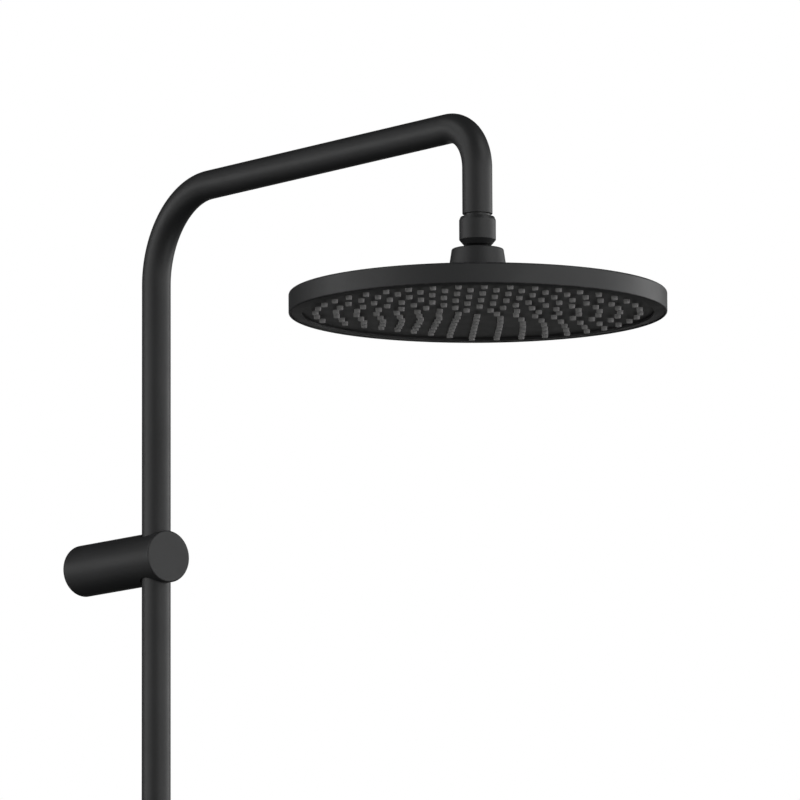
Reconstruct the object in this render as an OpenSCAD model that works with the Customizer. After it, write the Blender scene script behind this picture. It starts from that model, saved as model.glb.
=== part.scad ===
// Rainfall shower column: a wall bracket holds a bent riser tube, and a flat
// round rain head hangs from the tube's short drop on a ball joint.
// Frame: the wall is the plane Y = 0, the arm reaches towards -Y, +Z is up, and
// the origin is the centre of the bracket where it meets the wall.

/* [Wall bracket] */
// Outside diameter of the bracket
bracket_d = 36; // [35:0.5:42]
// Length of the bracket from the wall to its front face
bracket_len = 100; // [98:1:120]
// Distance from the wall to the riser's axis
standoff = 85.5; // [80:0.5:86]
// Distance between the two wall screws
wall_screw_gap = 16; // [14:1:17]

/* [Riser tube] */
// Outside diameter of the tube
tube_d = 20; // [18:0.5:20]
// Wall thickness of the tube
tube_wall = 1.5; // [1.2:0.1:1.5]
// Length of the riser below the bracket's axis
riser_below = 640; // [400:10:900]
// Height of the arm's centreline above the bracket's axis
arm_height = 253; // [220:0.5:400]
// Distance from the riser's axis to the head's axis
arm_reach = 360; // [300:5:450]
// Centreline radius of the bend above the riser
rear_bend_r = 62; // [45:1:70]
// Centreline radius of the bend above the head
front_bend_r = 31; // [28:1:40]
// Distance from the arm's centreline down to the tube's open end
drop_len = 61.8; // [58:0.1:70]

/* [Swivel joint] */
// Outside diameter of the swivel nut
nut_d = 24.3; // [23.5:0.1:26]
// Diameter of the swivel ball
ball_d = 18; // [17.6:0.1:18]
// Diameter of the top of the neck boss
boss_top_d = 34.3; // [30:0.1:35]
// Diameter of the bottom of the neck boss
boss_base_d = 40.1; // [38:0.1:44]

/* [Rain head] */
// Outside diameter of the head
head_d = 250; // [245:1:255]
// Height of the head's side wall
rim_h = 13.8; // [13.4:0.1:16]
// Rise of the head's shallow crown above its side wall
crown_rise = 9.7; // [9.6:0.1:12]
// Number of nozzle rings
nozzle_rings = 8; // [4:1:8]
// Nozzles in the innermost ring, which is also the step from ring to ring
nozzle_step = 5; // [4:1:6]
// Distance between two nozzle rings
ring_pitch = 13.4; // [12.5:0.1:13.4]
// Diameter of a nozzle
nozzle_d = 4.3; // [3.6:0.1:4.4]

/* [Hidden] */
$fn = 96;
eps = 0.5;

// Clearances
run_gap = 0.05;     // a part that turns or slides in another
seat_gap = 0.06;    // the ball in its seats

// Bracket
bracket_r = bracket_d / 2;
bracket_edge = 1.2;
socket_r = 15.1;
socket_len = 40;
boss_r = 14.95;
boss_len = 14;
wall_hole_r = 2.2;
wall_head_r = 4.2;
wall_sink_h = 2;
grub_r = 2.5;
grub_fit = 0.05;
grub_y = 8;
dimple_r = 2.6;
dimple_depth = 3;
grub_tip_r = 1.4;
grub_tip_h = 1;
hex_key = 2.5;
hex_depth = 2.2;
clamp_sunk = 0.9;
liner_wall = 0.8;
tube_r = tube_d / 2;
bore_r = tube_r - tube_wall;
liner_r = tube_r + run_gap + liner_wall;
liner_half = 13.9;

// Riser
head_y = -(standoff + arm_reach);
tube_end_z = arm_height - drop_len;
collar_r = 12.75;
collar_h = 3.3;
washer_h = 2.2;

// Union nut, G 3/4
union_af = 30;
union_chamfer = 1.2;
union_top_h = 3.4;
union_play = 0.3;
union_thread_r = 13.22;
union_relief_r = 13.05;
union_thread_h = 9.8;

// Swivel joint, G 1/2; heights are absolute
thread_r = 10.4;
nut_r = nut_d / 2;
nut_top_z = tube_end_z - 1.9;
nut_h = 18.8;
nut_bottom_z = nut_top_z - nut_h;
nut_mouth_r = 7.3;
nut_cone_h = 3.7;
nut_bevel = 2.85;
nut_bevel_h = 3.4;
nut_shoulder = 0.95;
nut_shoulder_h = 2.3;
ball_r = ball_d / 2;
ball_z = nut_bottom_z + 5.7;
ball_top = 7.2;
neck_r = 5;
water_r = 3.5;
nipple_bore_r = 6;
nipple_waist_r = 8.6;
nipple_spigot_h = 12;
nipple_free = 0.5;
braze_gap = 0.02;
screen_seat_r = 7;
screen_seat_h = 2;
screen_h = 0.8;
screen_pitch = 2.2;
seat_top = 1.8;
seat_bottom = -4.8;
upper_seat_low = 3.4;
upper_seat_bore = 6.2;
nipple_end_z = ball_z + 7.7;

// Head; heights are above the head's lower face
face_z = nut_bottom_z - 46;
head_r = head_d / 2;
shell_wall = 1.5;
rim_round = 1.4;
lip_round = 1.2;
cap_r = head_r - rim_round;
crown_r = (cap_r * cap_r + crown_rise * crown_rise) / (2 * crown_rise);
crown_top = rim_h + crown_rise;
gasket_h = 0.8;
gasket_r = 18;
boss_bottom = crown_top + gasket_h;
boss_top = 43.3;
boss_round = 1.2;
flange_r = 8.5;
flange_h = 1.4;
stem_r = 7;
stem_bottom = boss_top - 9;
oring_r = 0.6;
pocket_depth = flange_h + 2 * oring_r;
spigot_r = 10.45;
spigot_top = boss_bottom + 7.2;
spigot_bore_r = 7.5;
spigot_washer_h = 0.6;
spigot_washer_in = 6.5;
boss_web_h = 2;
boss_web_bore = 5;
hub_r = 15;
regulator_r = 8.7;
regulator_h = 3;
regulator_ring = 4.5;
regulator_jet_r = 0.9;
plate_h = 3;
ring_inner_r = 116.15;
plate_flange_r = 118.4;
plate_recess = 1.6;
mat_r = 112;
mat_h = 1.2;
nozzle_out = 2.5;      // below the face plate
nozzle_gap = 0.2;
straight_sector = 5;    // its middle, in half sectors
nozzle_tip_d = nozzle_d - 0.4;
nozzle_tip_z = plate_recess - nozzle_out;
jet_r = 0.5;
jet_len = plate_h + mat_h - nozzle_tip_z + 2 * eps;
chamber_roof = 6.6;
chamber_roof_h = 2.4;
chamber_top = chamber_roof + chamber_roof_h;
rib_w = 1.2;
ring_h = 4.5;
ring_bevel = 0.6;
seal_r = 0.9;
seal_ring_r = 113.7;
screw_ring_r = 116.6;
screw_count = 12;
screw_r = 1.2;
screw_head_r = 1.8;
screw_head_h = 1.5;
screw_key = 1.5;

module on_riser() {
    translate([0, -standoff, 0]) children();
}

module on_drop() {
    translate([0, head_y, 0]) children();
}

module on_head() {
    translate([0, head_y, face_z]) children();
}

module ring(r_out, r_in, h) {
    difference() {
        cylinder(r = r_out, h = h);
        translate([0, 0, -eps]) cylinder(r = r_in, h = h + 2 * eps);
    }
}

// Headless screw along +Z, its hexagon socket at the bottom
module grub_screw(length) {
    difference() {
        union() {
            cylinder(r = grub_r - grub_fit, h = length - grub_tip_h);
            translate([0, 0, length - grub_tip_h])
                cylinder(r1 = grub_r - grub_fit, r2 = grub_tip_r, h = grub_tip_h);
        }
        translate([0, 0, -eps]) cylinder(d = hex_key / cos(30), h = hex_depth + eps, $fn = 6);
    }
}

// Disc fixed to the wall by two screws, over which the bracket slides
module mounting_boss() {
    color("silver") rotate([90, 0, 0]) difference() {
        cylinder(r = boss_r, h = boss_len);
        for (side = [-1, 1]) translate([side * wall_screw_gap / 2, 0, 0]) {
            translate([0, 0, -eps]) cylinder(r = wall_hole_r, h = boss_len + 2 * eps);
            translate([0, 0, boss_len - wall_sink_h])
                cylinder(r1 = wall_hole_r, r2 = wall_head_r, h = wall_sink_h);
        }
        translate([0, -boss_r - eps, grub_y]) rotate([-90, 0, 0])
            cylinder(r = dimple_r, h = dimple_depth + eps);
    }
}

module bracket_outline() {
    square([bracket_r, bracket_len - bracket_edge]);
    square([bracket_r - bracket_edge, bracket_len]);
    translate([bracket_r - bracket_edge, bracket_len - bracket_edge]) circle(r = bracket_edge);
}

// Plain round bar with a socket in its rear and the riser's cross bore near its front
module bracket_body() {
    color([0.10, 0.10, 0.11]) difference() {
        rotate([90, 0, 0]) rotate_extrude() bracket_outline();
        rotate([90, 0, 0]) translate([0, 0, -eps]) cylinder(r = socket_r, h = socket_len + eps);
        on_riser() translate([0, 0, -bracket_d]) cylinder(r = liner_r + run_gap, h = 2 * bracket_d);
        translate([0, -grub_y, -bracket_r - eps]) cylinder(r = grub_r, h = bracket_r);
        on_riser() rotate([0, 90, 0]) cylinder(r = grub_r, h = bracket_r + eps);
    }
}

module base_grub_screw() {
    sunk = 0.5;
    color("dimgray") translate([0, -grub_y, sunk - bracket_r]) grub_screw(5.3);
}

module clamp_screw() {
    length = bracket_r - clamp_sunk - liner_r - run_gap - 0.3;
    color("dimgray") on_riser() translate([bracket_r - clamp_sunk, 0, 0]) rotate([0, -90, 0])
        grub_screw(length);
}

// Thin plastic sleeve that keeps the riser's finish from the bracket
module bracket_liner() {
    color("dimgray") on_riser() translate([0, 0, -liner_half])
        ring(liner_r, tube_r + run_gap, 2 * liner_half);
}

// The tube's path as a solid of radius r; its ends run past the tube's by extra
module bent_rod(r, extra) {
    rear_y = -standoff - rear_bend_r;
    front_y = head_y + front_bend_r;
    on_riser() translate([0, 0, -riser_below - extra])
        cylinder(r = r, h = riser_below + extra + arm_height - rear_bend_r);
    translate([0, rear_y, arm_height - rear_bend_r]) rotate([90, 0, 90])
        rotate_extrude(angle = 90) translate([rear_bend_r, 0]) circle(r = r);
    translate([0, rear_y, arm_height]) rotate([90, 0, 0]) cylinder(r = r, h = rear_y - front_y);
    translate([0, front_y, arm_height - front_bend_r]) rotate([90, 0, 90]) rotate([0, 0, 90])
        rotate_extrude(angle = 90) translate([front_bend_r, 0]) circle(r = r);
    on_drop() translate([0, 0, tube_end_z - extra]) cylinder(r = r, h = drop_len + extra - front_bend_r);
}

module riser_tube() {
    color([0.10, 0.10, 0.11]) difference() {
        bent_rod(tube_r, 0);
        bent_rod(bore_r, eps);
    }
}

// Collar brazed round the riser's lower end, which the union nut pulls on
module riser_collar() {
    color("goldenrod") on_riser() translate([0, 0, -riser_below])
        ring(collar_r, tube_r + braze_gap, collar_h);
}

module union_washer() {
    color("black") on_riser() translate([0, 0, -riser_below - washer_h])
        ring(collar_r, bore_r, washer_h);
}

// Hexagon nut with a web that rests on the collar
module union_nut() {
    web_z = -riser_below + collar_h + union_play;
    mouth_z = -riser_below - washer_h - union_thread_h;
    relief_z = mouth_z + union_thread_h;
    nut_top = web_z + union_top_h;
    height = nut_top - mouth_z;
    corner = union_af / 2 / cos(30);
    face_r = corner - union_chamfer;
    color([0.10, 0.10, 0.11]) on_riser() difference() {
        translate([0, 0, mouth_z]) intersection() {
            cylinder(r = corner, h = height, $fn = 6);
            cylinder(r1 = face_r, r2 = face_r + height, h = height);
            cylinder(r1 = face_r + height, r2 = face_r, h = height);
        }
        translate([0, 0, web_z - eps]) cylinder(r = tube_r + 2 * run_gap, h = union_top_h + 2 * eps);
        translate([0, 0, mouth_z - eps]) cylinder(r = union_thread_r, h = union_thread_h + eps);
        translate([0, 0, relief_z - eps]) cylinder(r = union_relief_r, h = web_z - relief_z + eps);
    }
}

// Threaded end brazed into the drop; its waist is the groove seen above the nut
module arm_nipple() {
    top_z = tube_end_z + nipple_spigot_h;
    thread_h = nut_top_z - nipple_free - nipple_end_z;
    color("goldenrod") on_drop() difference() {
        union() {
            translate([0, 0, tube_end_z]) cylinder(r = bore_r - braze_gap, h = nipple_spigot_h);
            translate([0, 0, nipple_end_z]) cylinder(r = nipple_waist_r, h = tube_end_z - nipple_end_z);
            translate([0, 0, nipple_end_z]) cylinder(r = thread_r, h = thread_h);
        }
        translate([0, 0, nipple_end_z - eps])
            cylinder(r = nipple_bore_r, h = top_z - nipple_end_z + 2 * eps);
        translate([0, 0, top_z - screen_seat_h]) cylinder(r = screen_seat_r, h = screen_seat_h + eps);
    }
}

// Perforated disc that keeps grit out of the ball and the nozzles
module filter_screen() {
    seat_z = tube_end_z + nipple_spigot_h - screen_seat_h;
    color("lightgray") on_drop() translate([0, 0, seat_z]) difference() {
        cylinder(r = screen_seat_r - run_gap, h = screen_h);
        for (k = [1:2], i = [0:6 * k - 1]) rotate([0, 0, 60 * i / k])
            translate([screen_pitch * k, 0, -eps]) cylinder(r = 0.6, h = screen_h + 2 * eps);
    }
}

module swivel_nut() {
    color([0.10, 0.10, 0.11]) on_drop() translate([0, 0, nut_bottom_z]) rotate_extrude() difference() {
        polygon([
            [0, 0], [nut_r - nut_bevel, 0], [nut_r, nut_bevel_h], [nut_r, nut_h - nut_shoulder_h],
            [nut_r - nut_shoulder, nut_h], [0, nut_h]
        ]);
        polygon([
            [0, -eps], [nut_mouth_r, -eps], [nut_mouth_r, 0], [thread_r + run_gap, nut_cone_h],
            [thread_r + run_gap, nut_h + eps], [0, nut_h + eps]
        ]);
    }
}

// Rubber ring that seals on the top of the ball
module upper_seat() {
    low_z = ball_z + upper_seat_low;
    color("black") on_drop() difference() {
        translate([0, 0, low_z]) cylinder(r = thread_r, h = nipple_end_z - low_z);
        translate([0, 0, ball_z]) sphere(r = ball_r + seat_gap);
        translate([0, 0, ball_z]) cylinder(r = upper_seat_bore, h = 2 * ball_r);
    }
}

// Plastic ring that carries the ball in the nut's cone
module lower_seat() {
    knee = nut_bottom_z + nut_cone_h + 0.15 - ball_z;
    side_r = thread_r - run_gap / 2;
    color("dimgray") on_drop() translate([0, 0, ball_z]) difference() {
        rotate_extrude() polygon([
            [0, seat_bottom], [nut_mouth_r + 0.6, seat_bottom], [side_r, knee],
            [side_r, seat_top], [0, seat_top]
        ]);
        sphere(r = ball_r + seat_gap);
    }
}

// Hollow ball with its neck, flange and threaded stem
module swivel_ball() {
    rise = ball_z - face_z;
    color("goldenrod") on_head() difference() {
        union() {
            intersection() {
                translate([0, 0, rise]) sphere(r = ball_r);
                translate([0, 0, boss_top]) cylinder(r = ball_d, h = rise + ball_top - boss_top);
            }
            translate([0, 0, boss_top - eps]) cylinder(r = neck_r, h = rise - boss_top);
            translate([0, 0, boss_top - flange_h]) cylinder(r = flange_r, h = flange_h);
            translate([0, 0, stem_bottom]) cylinder(r = stem_r, h = boss_top - stem_bottom);
        }
        translate([0, 0, stem_bottom - eps]) cylinder(r = water_r, h = rise + ball_r);
    }
}

module stem_oring() {
    color("black") on_head() translate([0, 0, boss_top - flange_h - oring_r])
        rotate_extrude() translate([(stem_r + flange_r) / 2, 0]) circle(r = oring_r);
}

module boss_outline() {
    r_top = boss_top_d / 2;
    r_base = boss_base_d / 2;
    slope = (r_base - r_top) / (boss_top - boss_bottom);
    round_r = r_top - boss_round;
    round_z = boss_top - boss_round;
    difference() {
        polygon([[0, boss_bottom], [r_base, boss_bottom], [r_top, boss_top], [0, boss_top]]);
        translate([round_r, round_z]) square(boss_round + eps);
    }
    intersection() {
        translate([round_r, round_z]) circle(r = boss_round);
        translate([round_r, round_z]) square(boss_round);
    }
    polygon([
        [r_top - eps, round_z - eps], [r_top + slope * (boss_round + eps), round_z - eps],
        [r_top, round_z], [r_top - eps, round_z]
    ]);
}

// Tapered neck that joins the ball's stem to the head's water chamber
module neck_boss() {
    web = spigot_top + spigot_washer_h;
    color([0.10, 0.10, 0.11]) on_head() difference() {
        rotate_extrude() boss_outline();
        translate([0, 0, boss_bottom - eps]) cylinder(r = spigot_r + run_gap, h = web - boss_bottom + eps);
        translate([0, 0, web - eps]) cylinder(r = boss_web_bore, h = boss_web_h + 2 * eps);
        translate([0, 0, web + boss_web_h]) cylinder(r = stem_r + run_gap, h = boss_top - web - boss_web_h);
        translate([0, 0, boss_top - pocket_depth]) cylinder(r = flange_r + 0.2, h = pocket_depth + eps);
    }
}

module spigot_washer() {
    color("black") on_head() translate([0, 0, spigot_top])
        ring(spigot_r - 0.15, spigot_washer_in, spigot_washer_h);
}

module boss_gasket() {
    color("black") on_head() translate([0, 0, crown_top]) ring(gasket_r, spigot_r + 0.2, gasket_h);
}

module shell_outline() {
    intersection() {
        translate([0, crown_top - crown_r]) circle(r = crown_r, $fn = 720);
        translate([0, rim_h - rim_round]) square([cap_r, crown_rise + rim_round]);
    }
    translate([0, lip_round]) square([head_r, rim_h - rim_round - lip_round]);
    translate([cap_r, rim_h - rim_round]) circle(r = rim_round);
    translate([head_r - lip_round, lip_round]) circle(r = lip_round);
}

module shell_hollow() {
    intersection() {
        translate([0, crown_top - crown_r]) circle(r = crown_r - shell_wall, $fn = 720);
        translate([0, -eps]) square([cap_r - shell_wall, crown_top + 1]);
    }
    translate([0, -eps]) square([head_r - shell_wall, rim_h - rim_round + eps - 0.4]);
}

// Shallow round cover with a plain side wall
module top_shell() {
    color([0.10, 0.10, 0.11]) on_head() rotate_extrude() difference() {
        shell_outline();
        shell_hollow();
        translate([0, rim_h]) square([spigot_r + 0.2, crown_rise + 1]);
    }
}

// Upper half of the water chamber, with the threaded spigot that clamps the shell
module chamber_plate() {
    hub_top = crown_top - shell_wall - 0.2;
    seal_in = seal_ring_r - seal_r - 0.3;
    seal_out = seal_ring_r + seal_r + 0.4;
    seal_z = plate_h + 2 * seal_r;
    rib_z = plate_h + mat_h + 0.4;
    color("dimgray") on_head() difference() {
        rotate_extrude() union() {
            polygon([
                [spigot_bore_r, chamber_roof], [seal_in, chamber_roof], [seal_in, seal_z],
                [seal_out, seal_z], [seal_out, plate_h], [plate_flange_r, plate_h],
                [plate_flange_r, chamber_top], [hub_r, chamber_top], [hub_r, hub_top],
                [spigot_r, hub_top], [spigot_r, spigot_top], [spigot_bore_r, spigot_top]
            ]);
            for (k = [2:2:nozzle_rings - 2]) translate([ring_pitch * (k + 0.5), rib_z])
                square([rib_w, chamber_roof + eps - rib_z]);
        }
        translate([0, 0, spigot_top - regulator_h - 0.1])
            cylinder(r = regulator_r + run_gap, h = regulator_h + 1);
        at_screws() translate([0, 0, plate_h - eps]) cylinder(r = screw_r + 0.1, h = chamber_top);
    }
}

// Disc with small holes that limits the flow
module flow_regulator() {
    color("dimgray") on_head() translate([0, 0, spigot_top - regulator_h - 0.05]) difference() {
        cylinder(r = regulator_r, h = regulator_h);
        for (i = [0:7]) rotate([0, 0, 45 * i]) translate([regulator_ring, 0, -eps])
            cylinder(r = regulator_jet_r, h = regulator_h + 2 * eps);
    }
}

module chamber_seal() {
    color("black") on_head() translate([0, 0, plate_h + seal_r])
        rotate_extrude() translate([seal_ring_r, 0]) circle(r = seal_r);
}

// Places its children at every chamber screw
module at_screws() {
    for (i = [0:screw_count - 1]) rotate([0, 0, 360 * (i + 0.5) / screw_count])
        translate([screw_ring_r, 0, 0]) children();
}

// Pan-head screws that close the chamber from above
module chamber_screws() {
    tip_z = plate_recess + 0.4;
    color("silver") on_head() at_screws() difference() {
        union() {
            translate([0, 0, tip_z]) cylinder(r = screw_r, h = chamber_top - tip_z);
            translate([0, 0, chamber_top]) cylinder(r = screw_head_r, h = screw_head_h);
        }
        translate([0, 0, chamber_top + 0.6]) cylinder(d = screw_key / cos(30), h = screw_head_h, $fn = 6);
    }
}

// Radius of a nozzle, at an angle, on the ring of radius r; the rings run straight
// across one sector and round everywhere else
function nozzle_radius(r, angle) =
    let (half = 180 / nozzle_step, off = angle - straight_sector * half)
    abs(off) < half ? r * cos(half) / cos(off) : r;

// Places its children at every nozzle: rings of nozzle_step, 2 x nozzle_step and so on
module at_nozzles() {
    for (k = [1:nozzle_rings], i = [0:nozzle_step * k - 1]) {
        angle = 360 * i / (nozzle_step * k);
        rotate([0, 0, angle - 90]) translate([nozzle_radius(ring_pitch * k, angle), 0, 0]) children();
    }
}

// Silicone sheet with one nozzle for each hole of the face plate
module nozzle_mat() {
    color("darkgray") on_head() difference() {
        union() {
            translate([0, 0, plate_h]) cylinder(r = mat_r, h = mat_h);
            at_nozzles() translate([0, 0, plate_recess])
                cylinder(d = nozzle_d, h = plate_h + mat_h / 2 - plate_recess);
            at_nozzles() translate([0, 0, nozzle_tip_z])
                cylinder(d1 = nozzle_tip_d, d2 = nozzle_d, h = nozzle_out);
        }
        at_nozzles() translate([0, 0, nozzle_tip_z - eps]) cylinder(r = jet_r, h = jet_len, $fn = 24);
    }
}

// Perforated lower plate, set back from the head's lower edge
module face_plate() {
    color([0.13, 0.13, 0.14]) on_head() difference() {
        translate([0, 0, plate_recess]) cylinder(r = plate_flange_r, h = plate_h - plate_recess);
        at_nozzles() translate([0, 0, -eps]) cylinder(d = nozzle_d + 2 * nozzle_gap, h = plate_h + 2 * eps);
        at_screws() translate([0, 0, plate_recess + 0.3]) cylinder(r = screw_r, h = plate_h);
    }
}

// Slightly bevelled ring that holds the face plate in the shell
module face_ring() {
    ledge = plate_recess - 0.05;
    inner = ring_inner_r;
    outer = head_r - shell_wall - 0.05;
    step_r = plate_flange_r + 0.2;
    color([0.08, 0.08, 0.09]) on_head() rotate_extrude() polygon([
        [inner, 0], [outer, ring_bevel], [outer, ring_h], [step_r, ring_h], [step_r, ledge], [inner, ledge]
    ]);
}

mounting_boss();
bracket_body();
base_grub_screw();
clamp_screw();
bracket_liner();
riser_tube();
riser_collar();
union_washer();
arm_nipple();
filter_screen();
swivel_nut();
upper_seat();
union_nut();
lower_seat();
swivel_ball();
stem_oring();
neck_boss();
spigot_washer();
boss_gasket();
top_shell();
chamber_plate();
flow_regulator();
chamber_seal();
chamber_screws();
nozzle_mat();
face_plate();
face_ring();
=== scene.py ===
"""Looks for a rainfall shower column: a bent riser, its wall bracket and a flat rain head."""
import math

import bmesh
import bpy
from mathutils import Matrix, Vector
from mathutils.geometry import delaunay_2d_cdt


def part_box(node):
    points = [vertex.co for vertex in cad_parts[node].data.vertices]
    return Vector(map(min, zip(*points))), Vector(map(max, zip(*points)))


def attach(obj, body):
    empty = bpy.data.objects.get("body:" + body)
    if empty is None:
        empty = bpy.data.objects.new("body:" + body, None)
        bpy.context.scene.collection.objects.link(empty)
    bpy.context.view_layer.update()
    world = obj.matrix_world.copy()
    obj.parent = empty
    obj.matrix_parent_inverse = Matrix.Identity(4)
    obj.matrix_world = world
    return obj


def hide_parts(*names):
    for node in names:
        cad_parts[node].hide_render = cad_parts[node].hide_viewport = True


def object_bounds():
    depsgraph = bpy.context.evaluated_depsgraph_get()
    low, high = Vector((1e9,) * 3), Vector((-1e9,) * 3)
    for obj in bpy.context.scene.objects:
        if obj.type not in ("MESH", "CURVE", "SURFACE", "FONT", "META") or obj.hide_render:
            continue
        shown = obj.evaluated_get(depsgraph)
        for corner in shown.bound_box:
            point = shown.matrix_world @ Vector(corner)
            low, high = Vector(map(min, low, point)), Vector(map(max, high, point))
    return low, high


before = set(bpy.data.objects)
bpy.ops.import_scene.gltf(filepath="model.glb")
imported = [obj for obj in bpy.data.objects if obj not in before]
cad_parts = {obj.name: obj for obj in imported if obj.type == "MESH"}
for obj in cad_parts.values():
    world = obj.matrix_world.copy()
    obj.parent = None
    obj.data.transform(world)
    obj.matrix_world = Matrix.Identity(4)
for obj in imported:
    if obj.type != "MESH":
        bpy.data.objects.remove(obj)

MM = 0.001
TURN = 2 * math.pi
SHARP = math.radians(32)    # edges that bend more than this stay crisp
WEAR = "wear"               # vertex attribute: 1 along rounded edges, 0 elsewhere
WELD = 0.0005 * MM          # vertices closer than this become one
FIT_GAP = 0.05 * MM         # between parts that slide or rest on one another

CAD_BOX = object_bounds()

# Riser, from the frame
tube_low, tube_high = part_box("riser_tube")
TUBE_R = tube_high.x
RISER_Y = tube_high.y - TUBE_R
HEAD_Y = tube_low.y + TUBE_R
ARM_Z = tube_high.z - TUBE_R
FOOT_Z = tube_low.z
TUBE_WALL = 1.5 * MM
BORE_R = TUBE_R - TUBE_WALL
REAR_BEND_R = 62 * MM
FRONT_BEND_R = 31 * MM

# Swivel joint, from the frame
nut_low, nut_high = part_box("swivel_nut")
NUT_R = nut_high.x
GROOVE_H = 1.9 * MM
DROP_END_Z = nut_high.z + GROOVE_H
BALL_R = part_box("swivel_ball")[1].x
BALL_RISE = 5.7 * MM        # the ball's middle above the nut's lower face
BALL_Z = nut_low.z + BALL_RISE

# Head, from the frame
LIP_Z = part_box("top_shell")[0].z
HEAD_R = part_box("top_shell")[1].x
SHELL_WALL = 1.5 * MM
SHELL_HOLE_R = 10.65 * MM
RIM_H = 13.8 * MM
RIM_ROUND = 1.4 * MM
LIP_ROUND = 1.2 * MM
CROWN_RISE = 9.7 * MM
PLATE_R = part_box("face_plate")[1].x
PLATE_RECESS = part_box("face_plate")[0].z - LIP_Z
PLATE_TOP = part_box("face_plate")[1].z - LIP_Z
NOZZLE_RINGS = 8
NOZZLE_STEP = 5
RING_PITCH = 13.4 * MM
NOZZLE_R = 2.15 * MM
NOZZLE_HOLE_R = 2.35 * MM

# Bracket, from the frame
bracket_low, bracket_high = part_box("bracket_body")
BRACKET_R = bracket_high.x
BRACKET_LEN = -bracket_low.y
LINER_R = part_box("bracket_liner")[1].x

# Camera, in degrees
CAMERA_AZIMUTH = -37.74     # from straight in front, negative towards -X
CAMERA_PITCH = 8.536        # upwards
CAMERA_ROLL = -0.222

RISER_AXIS = Matrix.Translation((0, RISER_Y, 0))
DROP_AXIS = Matrix.Translation((0, HEAD_Y, 0))
HEAD_AXIS = Matrix.Translation((0, HEAD_Y, LIP_Z))
FORWARD_AXIS = Matrix.Rotation(math.radians(90), 4, "X")      # its Z runs away from the wall
SIDE_AXIS = Matrix.Translation((0, RISER_Y, 0)) @ Matrix.Rotation(math.radians(90), 4, "Y")


# ---------------------------------------------------------------- materials

class Paint:
    """A principled material and the nodes that vary it over the surface."""

    def __init__(self, name, **sockets):
        self.material = bpy.data.materials.new(name)
        self.material.use_nodes = True
        self.tree = self.material.node_tree
        self.shader = self.tree.nodes["Principled BSDF"]
        self.place = self.node("TexCoord").outputs["Object"]
        self.wear = self.node("Attribute").outputs["Fac"]
        self.wear.node.attribute_name = WEAR
        self.set(self.shader, sockets)

    def set(self, node, inputs):
        for name, value in inputs.items():
            socket = node.inputs[name.replace("_", " ")]
            if isinstance(value, bpy.types.NodeSocket):
                self.tree.links.new(value, socket)
            else:
                socket.default_value = value

    def node(self, kind, **inputs):
        """Adds a node; an input takes a number, a colour or another node's output."""
        node = self.tree.nodes.new("ShaderNode" + kind)
        self.set(node, inputs)
        return node

    def noise(self, size, detail=2.0, stretch=(1, 1, 1)):
        """Noise with blobs about size metres across."""
        place = self.node("Mapping", Vector=self.place, Scale=stretch).outputs["Vector"]
        return self.node("TexNoise", Vector=place, Scale=1 / size, Detail=detail).outputs["Fac"]

    def remap(self, value, low, high, start=0.0, end=1.0):
        """A value that runs from start to end, turned into one from low to high."""
        node = self.node("MapRange", Value=value, From_Min=start, From_Max=end, To_Min=low, To_Max=high)
        return node.outputs["Result"]

    def times(self, first, second):
        node = self.node("Math")
        node.operation = "MULTIPLY"
        self.tree.links.new(first, node.inputs[0])
        self.tree.links.new(second, node.inputs[1])
        return node.outputs["Value"]

    def mix(self, factor, first, second):
        return self.node("MixRGB", Fac=factor, Color1=first, Color2=second).outputs["Color"]

    def bump(self, height, depth, strength):
        """A bump of the given depth in metres."""
        return self.node("Bump", Height=height, Distance=depth, Strength=strength).outputs["Normal"]

    def finish(self, **sockets):
        self.set(self.shader, sockets)
        return self.material


def grey(level, warmth=0.0):
    """Linear colour close to neutral; positive warmth leans to red, negative to blue."""
    return (level * (1 + warmth), level, level * (1 - warmth), 1.0)


def powder_coat(name, level=0.024, rough=0.46):
    """Matte black powder coat: fine orange peel, soft patches, rubbed edges."""
    paint = Paint(name, IOR=1.5)
    patches = paint.remap(paint.noise(70 * MM, 3), 0, 1, 0.35, 0.65)
    colour = paint.mix(patches, grey(level * 0.9, -0.03), grey(level * 1.1, -0.03))
    speckle = paint.remap(paint.noise(0.9 * MM, 1), 0, 0.35, 0.62, 0.72)
    colour = paint.mix(speckle, colour, grey(level * 1.5, -0.02))
    rubbed = paint.times(paint.wear, paint.remap(paint.noise(6 * MM, 4), 0, 0.8, 0.45, 0.65))
    colour = paint.mix(rubbed, colour, grey(level * 2.2, -0.01))
    dull = paint.remap(paint.noise(25 * MM, 3), rough - 0.03, rough + 0.03, 0.3, 0.7)
    dull = paint.mix(rubbed, dull, grey(rough - 0.1))
    peel = paint.bump(paint.noise(1.1 * MM, 2), 0.012 * MM, 0.6)
    return paint.finish(Base_Color=colour, Roughness=dull, Normal=peel)


def satin_plastic(name, level=0.03, rough=0.42):
    """Moulded black plastic with a fine spark-eroded grain."""
    paint = Paint(name, IOR=1.49)
    flow = paint.remap(paint.noise(45 * MM, 4), 0, 1, 0.3, 0.7)
    colour = paint.mix(flow, grey(level * 0.9, -0.02), grey(level * 1.12, -0.02))
    rubbed = paint.times(paint.wear, paint.remap(paint.noise(4 * MM, 3), 0, 0.7, 0.4, 0.6))
    colour = paint.mix(rubbed, colour, grey(level * 1.9))
    dull = paint.remap(paint.noise(14 * MM, 3), rough - 0.04, rough + 0.04, 0.3, 0.7)
    grain = paint.bump(paint.noise(0.45 * MM, 2), 0.01 * MM, 0.6)
    return paint.finish(Base_Color=colour, Roughness=dull, Normal=grain)


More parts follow.
